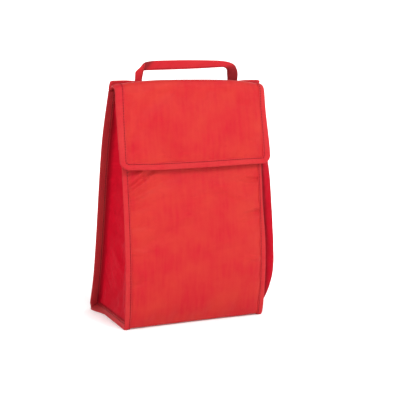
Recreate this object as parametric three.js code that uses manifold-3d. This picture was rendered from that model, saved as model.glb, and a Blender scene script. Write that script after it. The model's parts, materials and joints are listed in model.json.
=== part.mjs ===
// Insulated roll-up cooler bag: a sewn wedge of three-layer walls (cloth, foam, foil lining) with taped seams,
// a two-fold flap closed by hook-and-loop tape, and a flat strap handle sewn behind the ridge.
// Millimetres, +Z up, +X to the right, the flap faces -Y. The origin is the centre of the base.
import * as THREE from "three";
import { mergeVertices } from "three/addons/utils/BufferGeometryUtils.js";
import Module from "manifold-3d";

const wasm = await Module();
wasm.setup();

// ---- Driving dimensions ----
const BODY_HALF_WIDTH = 91; // the gussets' outer faces
const FLAP_HALF_WIDTH = 100;
const FRONT_TAPE_HALF_WIDTH = 95.5; // outer edge of the front seams' tape
const MOUTH_Z = 284; // top edge of the front panel and the gussets
const BACK_TOP_Z = 300; // top edge of the back panel
const RIDGE_Z = 304; // top of the taped ridge seam
const GAP = 0.3; // between neighbouring plies
const CLOTH = 0.8;
const FOAM = 2.0;
const FOIL = 0.5;
const TAPE = 0.6; // one ply of the seam tape
const TAPE_WIDTH = 8; // how far the folded tape covers an edge

// Side view of the body, as [y, z] on the outer cloth.
const FRONT_LINE = [[-60.5, 0], [-67, 35], [-69, 80], [-66, 135], [-60.5, 188], [-53.2, 240], [-45, 284]];
const BACK_LINE = [[59.5, 0], [46, 42], [30.5, 99], [18, 153], [5.5, 205], [-11, 256], [-30, 300]];
const STATION = 20; // spacing in z of the bends of every ply

// The flap: a bridge from the ridge to the front fold, then a panel that lies on the front.
const RIDGE_AXIS = { y: -38.6, z: 300.5 };
const FOLD_AXIS = { y: -50.5, z: 296 };
const FLAP_TILT = 9; // degrees between the hanging flap and the vertical
const FLAP_LENGTH = 98;
const FLAP_CORNER_RADIUS = 12;
const RIDGE_SETBACK = 2.2; // cloth kept clear of the ridge axis, for the fold
const FOLD_SETBACK = 2.2;

// Closure tapes.
const CLOSURE_HALF_LENGTH = 75;
const CLOSURE_WIDTH = 20;
const CLOSURE_PLY = 1.1;
const LOOP_TAPE_Z = 206;
const HOOK_TAPE_FROM_FOLD = 91; // lower edge of the hook tape, measured down the flap

// Handle.
const HANDLE_HALF_WIDTH = 70;
const STRAP_WIDTH = 11.5;
const STRAP_PLY = 2.2;
const HANDLE_TOP_Z = 329.5;
const HANDLE_AXIS_Z = 293.5;
const HANDLE_CORNER_CUT = 9;
const HANDLE_STANDOFF = 1.2; // strap's near face from the back panel's cloth
const TAB_Z = [262, 290.5];
const BARTACK_Z = [266, 286];
const BARTACK_PLY = 0.4;

// Depths of the three plies below the outer face, and of the whole wall.
const PLIES = {
  cloth: [0, CLOTH],
  foam: [CLOTH + GAP, CLOTH + GAP + FOAM],
  foil: [CLOTH + 2 * GAP + FOAM, CLOTH + 2 * GAP + FOAM + FOIL],
};
const WALL = PLIES.foil[1];

// ---- Materials ----
const cloth = (color) => new THREE.MeshStandardMaterial({ color, roughness: 0.75, metalness: 0 });
const MATERIALS = {
  cloth: cloth(0xd8262b),
  tape: cloth(0xdc3a3c),
  strap: cloth(0xcf2a30),
  foam: new THREE.MeshStandardMaterial({ color: 0xf2f2ee, roughness: 0.9, metalness: 0 }),
  foil: new THREE.MeshStandardMaterial({ color: 0xc9ccd0, roughness: 0.35, metalness: 0.8 }),
  closure: cloth(0xb01c22),
  thread: cloth(0xb5161d),
};

// ---- Lines and solids ----
// A wall is its outer line at evenly spaced stations; every ply bends at the same stations, so plies stay nested.
// Inward is +y on the front and -y on the back. Stretch is how much thicker a level cut shows a ply there.
function wallFrom(points, inward) {
  const curve = new THREE.SplineCurve(points.map(([y, z]) => new THREE.Vector2(y, z))).getPoints(300);
  const top = points.at(-1)[1];
  const stations = Array.from({ length: Math.ceil(top / STATION) + 1 }, (_, i) => {
    const z = Math.min(i * STATION, top);
    const after = Math.max(1, curve.findIndex((p) => p.y >= z - 1e-9));
    const [p, q] = [curve[after - 1], curve[after]];
    const slope = (q.x - p.x) / (q.y - p.y);
    return { z, y: p.x + slope * (z - p.y), stretch: Math.hypot(1, slope) };
  });
  return { inward, stations };
}

const FRONT = wallFrom(FRONT_LINE, 1);
const BACK = wallFrom(BACK_LINE, -1);

// y on a wall at a depth below its outer face (negative is outside it).
function wallY({ inward, stations }, depth, z) {
  const after = Math.max(1, stations.findIndex((s) => s.z >= z));
  const [p, q] = [stations[after - 1], stations[after]];
  const t = (z - p.z) / (q.z - p.z);
  const level = (s) => s.y + inward * depth * s.stretch;
  return level(p) * (1 - t) + level(q) * t;
}

// The wall's line at one depth between two heights.
function wallLine(wall, depth, z0, z1) {
  const between = wall.stations.map((s) => s.z).filter((z) => z > z0 + 0.01 && z < z1 - 0.01);
  return [z0, ...between, z1].map((z) => new THREE.Vector2(wallY(wall, depth, z), z));
}

// The band between two depths of a wall, as a closed side view.
function wallBand(wall, d0, d1, z0, z1) {
  return [...wallLine(wall, d0, z0, z1), ...wallLine(wall, d1, z0, z1).reverse()];
}

// A side-view outline [y, z] swept along x.
function sweepAcross(outline, x0, x1) {
  const geometry = new THREE.ExtrudeGeometry(new THREE.Shape(outline), { depth: x1 - x0, bevelEnabled: false });
  geometry.applyMatrix4(
    new THREE.Matrix4().set(0, 0, 1, x0, 1, 0, 0, 0, 0, 1, 0, 0, 0, 0, 0, 1),
  );
  return geometry;
}

// A front-view outline [x, z] with a thickness from y0 to y1.
function sweepDeep(outline, y0, y1) {
  const geometry = new THREE.ExtrudeGeometry(new THREE.Shape(outline), { depth: y1 - y0, bevelEnabled: false });
  geometry.applyMatrix4(
    new THREE.Matrix4().set(1, 0, 0, 0, 0, 0, -1, y1, 0, 1, 0, 0, 0, 0, 0, 1),
  );
  return geometry;
}

function boxBetween([x0, y0, z0], [x1, y1, z1]) {
  return new THREE.BoxGeometry(x1 - x0, y1 - y0, z1 - z0).translate((x0 + x1) / 2, (y0 + y1) / 2, (z0 + z1) / 2);
}

function solidOf(geometry) {
  const bare = geometry.clone();
  bare.deleteAttribute("normal");
  bare.deleteAttribute("uv");
  const merged = mergeVertices(bare, 1e-4);
  return new wasm.Manifold(
    new wasm.Mesh({
      numProp: 3,
      vertProperties: new Float32Array(merged.attributes.position.array),
      triVerts: new Uint32Array(merged.index.array),
    }),
  );
}

function geometryOf(solid) {
  const mesh = solid.getMesh();
  const geometry = new THREE.BufferGeometry();
  geometry.setAttribute("position", new THREE.BufferAttribute(new Float32Array(mesh.vertProperties), 3));
  geometry.setIndex(new THREE.BufferAttribute(new Uint32Array(mesh.triVerts), 1));
  geometry.computeVertexNormals();
  return geometry;
}

const cut = (whole, ...tools) => geometryOf(tools.reduce((left, tool) => left.subtract(solidOf(tool)), solidOf(whole)));

function part(group, name, geometry, material) {
  const mesh = new THREE.Mesh(geometry, MATERIALS[material]);
  mesh.name = name;
  group.add(mesh);
}

// ---- Walls ----
// Front or back: a curved ply over the full width of its own layer, standing beside the base of that layer.
function longWall(wall, [d0, d1], topZ) {
  const halfWidth = BODY_HALF_WIDTH - d0;
  return sweepAcross(wallBand(wall, d0, d1, d0, topZ), -halfWidth, halfWidth);
}

// Gusset: the side view inside the front, back and base plies of the same layer.
function gusset([d0, d1], side) {
  const inset = d1 + GAP;
  const outline = [
    ...wallLine(FRONT, inset, inset, MOUTH_Z),
    ...wallLine(BACK, inset, inset, MOUTH_Z).reverse(),
  ];
  const [near, far] = [BODY_HALF_WIDTH - d1, BODY_HALF_WIDTH - d0];
  return side > 0 ? sweepAcross(outline, near, far) : sweepAcross(outline, -far, -near);
}

function base([d0, d1]) {
  const inset = d1 + GAP;
  const corner = (wall, z) => new THREE.Vector2(wallY(wall, inset, z), z);
  const outline = [corner(FRONT, d0), corner(BACK, d0), corner(BACK, d1), corner(FRONT, d1)];
  return sweepAcross(outline, d0 - BODY_HALF_WIDTH, BODY_HALF_WIDTH - d0);
}

function addWalls(group) {
  for (const [ply, depths] of Object.entries(PLIES)) {
    part(group, `${ply}_front`, longWall(FRONT, depths, MOUTH_Z), ply);
    part(group, `${ply}_back`, longWall(BACK, depths, BACK_TOP_Z), ply);
    part(group, `${ply}_base`, base(depths), ply);
    part(group, `${ply}_gusset_left`, gusset(depths, -1), ply);
    part(group, `${ply}_gusset_right`, gusset(depths, 1), ply);
  }
}

// ---- Seam tapes on the body ----
// A strip that stands out from the gusset along a front or back seam.
function seamTape(wall, side, outerX, topZ) {
  const outline = wallBand(wall, -TAPE - GAP, 2 * TAPE + GAP, 0.2, topZ);
  const innerX = BODY_HALF_WIDTH + GAP;
  return side > 0 ? sweepAcross(outline, innerX, outerX) : sweepAcross(outline, -outerX, -innerX);
}

// A band between two depths with a level head, used for folded tape and for the room inside it.
function headedBand(wall, d0, d1, z0, z1, headZ) {
  const [near, far] = [wallLine(wall, d0, z0, z1), wallLine(wall, d1, z0, z1)];
  const head = headZ > z1 ? [new THREE.Vector2(near.at(-1).x, headZ), new THREE.Vector2(far.at(-1).x, headZ)] : [];
  return [...near, ...head, ...far.reverse()];
}

// Tape folded over the top edge of the front or back wall.
function edgeChannel(wall, edgeZ, headZ, halfWidth, roomHalfWidth) {
  const lowZ = edgeZ - TAPE_WIDTH;
  const outside = headedBand(wall, -GAP - TAPE, WALL + GAP + TAPE, lowZ, edgeZ, headZ);
  const room = headedBand(wall, -GAP, WALL + GAP, lowZ - 1, edgeZ, edgeZ + GAP);
  return cut(sweepAcross(outside, -halfWidth, halfWidth), sweepAcross(room, -roomHalfWidth, roomHalfWidth));
}

// The same folded tape over the short top edge of a gusset.
function gussetChannel(side) {
  const inset = WALL + 2 * GAP + TAPE;
  const [y0, y1] = [wallY(FRONT, inset, MOUTH_Z), wallY(BACK, inset, MOUTH_Z)];
  const [x0, x1] = [BODY_HALF_WIDTH - WALL - GAP, BODY_HALF_WIDTH + GAP];
  const lowZ = MOUTH_Z - TAPE_WIDTH;
  const channel = cut(
    boxBetween([x0 - TAPE, y0, lowZ], [x1 + TAPE, y1, MOUTH_Z + GAP + TAPE]),
    boxBetween([x0, y0 - 1, lowZ - 1], [x1, y1 + 1, MOUTH_Z + GAP]),
  );
  return side > 0 ? channel : channel.rotateZ(Math.PI).translate(0, y0 + y1, 0);
}

function addSeamTapes(group) {
  const [baseTapeTop, baseTapePly] = [7, 2];
  const inner = BODY_HALF_WIDTH + GAP;
  const room = 2 * TAPE + 2 * GAP;
  const [y0, y1] = [wallY(FRONT, room, 0) + 0.5, wallY(BACK, room, baseTapeTop) - 0.5];
  for (const [name, side] of [["left", -1], ["right", 1]]) {
    part(group, `tape_front_${name}`, seamTape(FRONT, side, FRONT_TAPE_HALF_WIDTH, MOUTH_Z), "tape");
    part(group, `tape_back_${name}`, seamTape(BACK, side, FLAP_HALF_WIDTH, BACK_TOP_Z - TAPE_WIDTH - GAP), "tape");
    const [x0, x1] = side > 0 ? [inner, inner + baseTapePly] : [-inner - baseTapePly, -inner];
    part(group, `tape_base_${name}`, boxBetween([x0, y0, 0.2], [x1, y1, baseTapeTop]), "tape");
    part(group, `tape_mouth_${name}`, gussetChannel(side), "tape");
  }
  const mouthHalfWidth = BODY_HALF_WIDTH - WALL - 2 * GAP - TAPE;
  const mouthHead = MOUTH_Z + GAP + TAPE;
  part(group, "tape_mouth_front", edgeChannel(FRONT, MOUTH_Z, mouthHead, mouthHalfWidth, BODY_HALF_WIDTH), "tape");
  const roomHalfWidth = BODY_HALF_WIDTH + GAP;
  part(group, "tape_ridge", edgeChannel(BACK, BACK_TOP_Z, RIDGE_Z, FLAP_HALF_WIDTH, roomHalfWidth), "tape");
}

// ---- Flap ----
// Both flap groups hold a sheet in their own x and "along" direction, with thickness centred on the axis plane.
const SHEET = {
  cloth: [WALL / 2 - CLOTH, WALL / 2],
  foam: [WALL / 2 - CLOTH - GAP - FOAM, WALL / 2 - CLOTH - GAP],
  foil: [-WALL / 2, -WALL / 2 + FOIL],
};
const TAPED = WALL / 2 + GAP + TAPE;
const SHEET_INSET = GAP + TAPE;

function addBridge(group) {
  const length = Math.hypot(RIDGE_AXIS.y - FOLD_AXIS.y, RIDGE_AXIS.z - FOLD_AXIS.z);
  const [y0, y1] = [FOLD_SETBACK - length, -RIDGE_SETBACK];
  const halfWidth = FLAP_HALF_WIDTH - SHEET_INSET;
  for (const [ply, [z0, z1]] of Object.entries(SHEET)) {
    part(group, `bridge_${ply}`, boxBetween([-halfWidth, y0, z0], [halfWidth, y1, z1]), ply);
  }
  for (const [name, side] of [["left", -1], ["right", 1]]) {
    const channel = cut(
      boxBetween([FLAP_HALF_WIDTH - TAPE_WIDTH, y0, -TAPED], [FLAP_HALF_WIDTH, y1, TAPED]),
      boxBetween([0, y0 - 1, -WALL / 2 - GAP], [FLAP_HALF_WIDTH - TAPE, y1 + 1, WALL / 2 + GAP]),
    );
    const turned = side > 0 ? channel : channel.rotateZ(Math.PI).translate(0, y0 + y1, 0);
    part(group, `bridge_tape_${name}`, turned, "tape");
  }
  group.position.set(0, RIDGE_AXIS.y, RIDGE_AXIS.z);
  group.rotation.x = Math.atan2(RIDGE_AXIS.z - FOLD_AXIS.z, RIDGE_AXIS.y - FOLD_AXIS.y);
}

// Front view of the flap, inset from its finished edge, with its two lower corners rounded.
function flapOutline(inset, topZ) {
  const [half, low, r] = [FLAP_HALF_WIDTH - inset, -FLAP_LENGTH + inset, FLAP_CORNER_RADIUS - inset];
  const arc = (cx, from) => Array.from({ length: 9 }, (_, i) => {
    const a = from + (i * Math.PI) / 16;
    return new THREE.Vector2(cx + r * Math.cos(a), low + r + r * Math.sin(a));
  });
  return [
    new THREE.Vector2(-half, topZ), ...arc(-half + r, Math.PI), ...arc(half - r, 1.5 * Math.PI),
    new THREE.Vector2(half, topZ),
  ];
}

function addFlap(group) {
  const top = -FOLD_SETBACK;
  for (const [ply, [near, far]] of Object.entries(SHEET)) {
    part(group, `flap_${ply}`, sweepDeep(flapOutline(SHEET_INSET, top), -far, -near), ply);
  }
  const tape = cut(
    sweepDeep(flapOutline(0, top), -TAPED, TAPED),
    sweepDeep(flapOutline(TAPE, top + 1), -WALL / 2 - GAP, WALL / 2 + GAP),
    sweepDeep(flapOutline(TAPE_WIDTH, top + 1), -TAPED - 1, TAPED + 1),
  );
  part(group, "flap_tape", tape, "tape");
  const near = WALL / 2 + GAP;
  part(group, "hook_tape", boxBetween(
    [-CLOSURE_HALF_LENGTH, near, -HOOK_TAPE_FROM_FOLD + 1],
    [CLOSURE_HALF_LENGTH, near + CLOSURE_PLY, -HOOK_TAPE_FROM_FOLD + 1 + CLOSURE_WIDTH],
  ), "closure");
  group.position.set(0, FOLD_AXIS.y, FOLD_AXIS.z);
  group.rotation.x = THREE.MathUtils.degToRad(-FLAP_TILT);
}

// ---- Handle and closure on the body ----
const handleAxisY = wallY(BACK, -HANDLE_STANDOFF - STRAP_PLY / 2, HANDLE_AXIS_Z);

// A patch that lies on the back panel between two heights, across the strap's width.
function backPatch([d0, d1], [z0, z1], x0, x1) {
  return sweepAcross(wallBand(BACK, d0, d1, z0, z1), x0, x1);
}

function addHandle(group) {
  const [w, c] = [HANDLE_HALF_WIDTH, HANDLE_CORNER_CUT];
  const [low, high] = [HANDLE_AXIS_Z + 0.5, HANDLE_TOP_Z];
  const inner = [w - STRAP_WIDTH, high - STRAP_WIDTH];
  const outline = [
    [-w, low], [-inner[0], low], [-inner[0], inner[1]], [inner[0], inner[1]], [inner[0], low], [w, low],
    [w, high - c], [w - c, high], [c - w, high], [-w, high - c],
  ].map(([x, z]) => new THREE.Vector2(x, z));
  part(group, "handle_strap", sweepDeep(outline, handleAxisY - STRAP_PLY / 2, handleAxisY + STRAP_PLY / 2), "strap");
}

function addBackAndFrontPatches(group) {
  const tab = [-GAP, -GAP - STRAP_PLY];
  const stitch = [tab[1] - GAP, tab[1] - GAP - BARTACK_PLY];
  for (const [name, side] of [["left", -1], ["right", 1]]) {
    const span = (inset) => {
      const edges = [side * (HANDLE_HALF_WIDTH - STRAP_WIDTH + inset), side * (HANDLE_HALF_WIDTH - inset)];
      return edges.sort((a, b) => a - b);
    };
    part(group, `handle_tab_${name}`, backPatch(tab, TAB_Z, ...span(0)), "strap");
    part(group, `handle_stitch_${name}`, backPatch(stitch, BARTACK_Z, ...span(1.5)), "thread");
  }
  const loop = wallBand(FRONT, -GAP, -GAP - CLOSURE_PLY, LOOP_TAPE_Z, LOOP_TAPE_Z + CLOSURE_WIDTH);
  part(group, "loop_tape", sweepAcross(loop, -CLOSURE_HALF_LENGTH, CLOSURE_HALF_LENGTH), "closure");
}

// ---- The bag ----
const bag = new THREE.Group();
const [body, bridge, flap, handle] = [0, 1, 2, 3].map(() => new THREE.Group());
addWalls(body);
addSeamTapes(body);
addBackAndFrontPatches(body);
addBridge(bridge);
addFlap(flap);
addHandle(handle);
bag.add(body, bridge, flap, handle);

export default bag;
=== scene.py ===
"""Looks of the insulated cooler bag: padded cloth walls, taped seams, flap, strap handle and foil lining."""

import json
import math

import bmesh
import bpy
import numpy as np
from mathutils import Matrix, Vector
from mathutils.bvhtree import BVHTree


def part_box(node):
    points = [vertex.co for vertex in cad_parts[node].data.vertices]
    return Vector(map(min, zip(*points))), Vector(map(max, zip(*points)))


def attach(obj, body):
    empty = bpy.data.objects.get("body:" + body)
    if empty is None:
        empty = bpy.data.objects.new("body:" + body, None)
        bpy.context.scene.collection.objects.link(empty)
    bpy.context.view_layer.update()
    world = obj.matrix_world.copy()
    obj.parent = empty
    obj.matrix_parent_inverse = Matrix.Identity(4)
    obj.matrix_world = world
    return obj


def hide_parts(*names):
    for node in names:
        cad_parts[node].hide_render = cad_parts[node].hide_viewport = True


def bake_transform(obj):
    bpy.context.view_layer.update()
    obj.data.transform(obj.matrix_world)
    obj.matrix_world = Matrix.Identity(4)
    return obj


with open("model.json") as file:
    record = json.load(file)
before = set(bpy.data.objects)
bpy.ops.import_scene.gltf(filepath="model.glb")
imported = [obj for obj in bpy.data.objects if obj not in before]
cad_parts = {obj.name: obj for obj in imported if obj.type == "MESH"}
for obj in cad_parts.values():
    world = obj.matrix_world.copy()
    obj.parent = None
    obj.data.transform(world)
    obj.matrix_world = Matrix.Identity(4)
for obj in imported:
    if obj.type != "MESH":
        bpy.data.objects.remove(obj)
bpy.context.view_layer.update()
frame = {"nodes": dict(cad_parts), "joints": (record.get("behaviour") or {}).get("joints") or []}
MM = 0.001


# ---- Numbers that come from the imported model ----
def corners(node):
    """The low and high corner of a CAD node's box."""
    low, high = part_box(node)
    return np.array(low), np.array(high)


def outer_line(node, pick):
    """A wall's outer face as a smooth polynomial y(z), through the CAD wall's own corners."""
    co = np.array([v.co for v in frame["nodes"][node].data.vertices])
    heights = np.unique(np.round(co[:, 2], 5))
    ys = [pick(co[np.abs(co[:, 2] - z) < 2e-5, 1]) for z in heights]
    return np.poly1d(np.polyfit(heights, ys, 6))


front_y = outer_line("cloth_front", np.min)
back_y = outer_line("cloth_back", np.max)
MOUTH = corners("cloth_front")[1][2]
BACK_TOP = corners("cloth_back")[1][2]
RIDGE_TOP = corners("tape_ridge")[1][2]
GUSSET_X = corners("cloth_gusset_right")[1][0]
STITCH_X = GUSSET_X - 2 * MM
FRONT_FIN = corners("tape_front_right")[1][0]
BACK_FIN = corners("tape_back_right")[1][0]
FLAP_X = corners("flap_tape")[1][0]
FLAP_LOW = corners("flap_tape")[0][2]
FOLD_Y, FOLD_Z = next(j["pos_m"][1:] for j in frame["joints"] if j["name"] == "flap_unfold")


# ---- Small tools ----
def waves(u, v, size, seed, count=9):
    """Smooth seeded unevenness between about -1 and 1, over u and v in metres, of about that feature size."""
    rng = np.random.default_rng(seed)
    total = 0
    for _ in range(count):
        a = rng.uniform(0, 2 * math.pi)
        k = 2 * math.pi / (size * rng.uniform(0.7, 1.6))
        total = total + np.sin(k * (u * math.cos(a) + v * math.sin(a)) + rng.uniform(0, 2 * math.pi))
    return total / math.sqrt(count * 2)


def smooth(t):
    t = np.clip(t, 0, 1)
    return t * t * (3 - 2 * t)


def unit(v):
    return v / np.maximum(np.linalg.norm(v, axis=-1, keepdims=True), 1e-12)


def lengths(points):
    """How far along a polyline each of its points is."""
    return np.concatenate([[0], np.cumsum(np.linalg.norm(np.diff(points, axis=0), axis=1))])


def between(t, known, values):
    """Rows of values, given at the known places, at the places t between them."""
    return np.stack([np.interp(t, known, values[:, k]) for k in range(values.shape[1])], -1)


def softened(values, times=1):
    """Each inner value moved halfway to the mean of its neighbours."""
    values = values.copy()
    for _ in range(times):
        values[1:-1] = values[1:-1] * 0.5 + (values[:-2] + values[2:]) * 0.25
    return values


def unit_grid(rows, cols):
    """u across the columns and v down the rows of a grid, both from 0 to 1."""
    v, u = np.meshgrid(np.linspace(0, 1, rows), np.linspace(0, 1, cols), indexing="ij")
    return u, v


def along(points, count):
    """The polyline resampled to count points, evenly spaced."""
    points = np.asarray(points, float)
    d = lengths(points)
    return between(np.linspace(0, d[-1], count), d, points)


def curve(controls, count):
    """A smooth curve through the controls (Catmull-Rom), with count even points."""
    p = np.asarray(controls, float)
    p = np.vstack([2 * p[0] - p[1], p, 2 * p[-1] - p[-2]])
    out = []
    for i in range(1, len(p) - 2):
        t = np.linspace(0, 1, 24, endpoint=i == len(p) - 3)[:, None]
        a, b, c, d = p[i - 1 : i + 3]
        bend, twist = 2 * a - 5 * b + 4 * c - d, 3 * b - 3 * c + d - a
        out.append(0.5 * (2 * b + (c - a) * t + bend * t**2 + twist * t**3))
    return along(np.vstack(out), count)


def loop_vertices(mesh):
    """The vertex number of each face corner."""
    index = np.zeros(len(mesh.loops), int)
    mesh.loops.foreach_get("vertex_index", index)
    return index


def label_faces(obj, labels):
    """Mark which panel each face belongs to."""
    obj.data.attributes.new("panel", "INT", "FACE").data.foreach_set("value", np.array(labels, np.int32))


def make(name, verts, faces, uv=None):
    """A smooth mesh object. uv is one pair per vertex, in metres."""
    mesh = bpy.data.meshes.new(name)
    mesh.from_pydata([tuple(v) for v in verts], [], [tuple(int(i) for i in f) for f in faces])
    mesh.update()
    if uv is not None:
        corner_uv = np.asarray(uv, np.float32)[loop_vertices(mesh)]
        mesh.uv_layers.new(name="cloth").data.foreach_set("uv", corner_uv.ravel())
    mesh.polygons.foreach_set("use_smooth", [True] * len(mesh.polygons))
    obj = bpy.data.objects.new(name, mesh)
    bpy.context.scene.collection.objects.link(obj)
    return obj


def painted_shade_layer(obj, away):
    """A second layer of cloth coordinates, holding each point's distance from the nearest crevice; the material
    paints shade where it is small.
    """
    away = np.asarray(away, np.float32)[loop_vertices(obj.data)]
    obj.data.uv_layers.new(name="seam").data.foreach_set("uv", np.column_stack([away, away * 0]).ravel())


def grid_faces(rows, cols, closed_cols=False, offset=0):
    """Four-sided faces between the points of a grid, given by row and column."""
    i, j = np.meshgrid(np.arange(rows - 1), np.arange(cols if closed_cols else cols - 1), indexing="ij")
    a = offset + i * cols + j
    b = offset + i * cols + (j + 1) % cols
    return np.stack([a, b, b + cols, a + cols], -1).reshape(-1, 4)


def outward(obj):
    """Faces of a closed mesh turned to face out."""
    bm = bmesh.new()
    bm.from_mesh(obj.data)
    bmesh.ops.recalc_face_normals(bm, faces=bm.faces)
    bm.to_mesh(obj.data)
    bm.free()
    return obj


def sweep(name, lines):
    """A closed tube whose cross-section runs through the given lines, one point of each per station."""
    sections = np.stack(lines, 1)
    n, m = sections.shape[:2]
    faces = [list(f) for f in grid_faces(n, m, closed_cols=True)]
    faces += [list(range(m))[::-1], [(n - 1) * m + k for k in range(m)]]
    s, girth = lengths(sections.mean(1)), lengths(sections[n // 2])
    uv = np.stack([np.repeat(s[:, None], m, 1), np.repeat(girth[None], n, 0)], -1).reshape(-1, 2)
    return outward(make(name, sections.reshape(-1, 3), faces, uv))


def settled(obj):
    """The object's mesh with its modifiers applied."""
    mesh = bpy.data.meshes.new_from_object(obj.evaluated_get(bpy.context.evaluated_depsgraph_get()))
    obj.modifiers.clear()
    obj.data = mesh
    return obj


def subdivide(obj):
    """The object's mesh with each face rounded into four."""
    modifier = obj.modifiers.new("round", "SUBSURF")
    modifier.levels = modifier.render_levels = 1
    return settled(obj)


def co_of(obj):
    co = np.zeros(len(obj.data.vertices) * 3)
    obj.data.vertices.foreach_get("co", co)
    return co.reshape(-1, 3)


def set_co(obj, co):
    obj.data.vertices.foreach_set("co", np.asarray(co, np.float32).ravel())
    obj.data.update()


def relax(obj, pinned, pressure, grow, frames=18, stiffness=12, bending=2.5):
    """Cloth simulation of a padded shell, held where pinned is 1. Returns where each point was and how far
    it moved."""
    start = co_of(obj)
    group = obj.vertex_groups.new(name="held")
    for level in np.unique(np.round(pinned, 2)):
        if level > 0:
            members = np.flatnonzero(np.abs(pinned - level) < 0.006)
            group.add([int(i) for i in members], float(level), "REPLACE")
    cloth = obj.modifiers.new("cloth", "CLOTH")
    s = cloth.settings
    s.quality = 6
    s.mass = 0.25
    s.air_damping = 3
    s.tension_stiffness = s.compression_stiffness = stiffness
    s.shear_stiffness = 4
    s.bending_stiffness = bending
    s.vertex_group_mass = "held"
    s.pin_stiffness = 4
    s.use_pressure = True
    s.uniform_pressure_force = pressure
    s.shrink_min = -grow
    s.effector_weights.gravity = 0
    cloth.collision_settings.use_collision = False
    cloth.point_cache.frame_start, cloth.point_cache.frame_end = 1, frames
    scene = bpy.context.scene
    for number in range(1, frames + 1):
        scene.frame_set(number)
    moved = co_of(settled(obj)) - start
    scene.frame_set(1)
    obj.vertex_groups.clear()
    return start, moved


def capped(moved, limit):
    """Each point's movement, softly held under its limit."""
    length = np.linalg.norm(moved, axis=1, keepdims=True)
    limit = np.maximum(np.reshape(limit, (-1, 1)), 1e-9)
    return moved * (limit * np.tanh(length / limit) / np.maximum(length, 1e-9))


# ---- Materials ----
def principled(name, roughness, sheen=0.0, metallic=0.0, specular=0.5):
    material = bpy.data.materials.new(name)
    material.use_nodes = True
    tree = material.node_tree
    bsdf = tree.nodes["Principled BSDF"]
    bsdf.inputs["Roughness"].default_value = roughness
    bsdf.inputs["Metallic"].default_value = metallic
    bsdf.inputs["Specular IOR Level"].default_value = specular
    bsdf.inputs["Sheen Weight"].default_value = sheen
    bsdf.inputs["Sheen Roughness"].default_value = 0.45
    return material, tree, bsdf


def node(tree, kind, **values):
    """A shader node, with values for its inputs or its own settings."""
    n = tree.nodes.new(kind)
    for key, value in values.items():
        if key in n.inputs:
            n.inputs[key].default_value = value
        else:
            setattr(n, key, value)
    return n


def mixed(tree, factor, a, b):
    """Colour a where the factor is 0 and b where it is 1."""
    mix = node(tree, "ShaderNodeMix", data_type="RGBA")
    tree.links.new(factor, mix.inputs[0])
    for socket, value in ((mix.inputs[6], a), (mix.inputs[7], b)):
        if isinstance(value, tuple):
            socket.default_value = value
        else:
            tree.links.new(value, socket)
    return mix.outputs[2]


def ramp(tree, value, **ends):
    """A value taken from one range to another; the ends are From_Min, From_Max, To_Min and To_Max."""
    n = node(tree, "ShaderNodeMapRange")
    for key, end in ends.items():
        n.inputs[key.replace("_", " ")].default_value = end
    tree.links.new(value, n.inputs["Value"])
    return n.outputs["Result"]


def texture(tree, kind, at, **values):
    n = node(tree, kind, **values)
    tree.links.new(at, n.inputs["Vector"])
    return n


def relief(tree, height, strength, depth, under=None):
    """A bump of that height, on top of the bump under it."""
    n = node(tree, "ShaderNodeBump", Strength=strength, Distance=depth)
    tree.links.new(height, n.inputs["Height"])
    if under is not None:
        tree.links.new(under, n.inputs["Normal"])
    return n.outputs["Normal"]


def uv_of(tree, layer):
    return node(tree, "ShaderNodeUVMap", uv_map=layer).outputs["UV"]


def darker(colour, share):
    return tuple(c * share for c in colour[:3]) + (1,)


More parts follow.
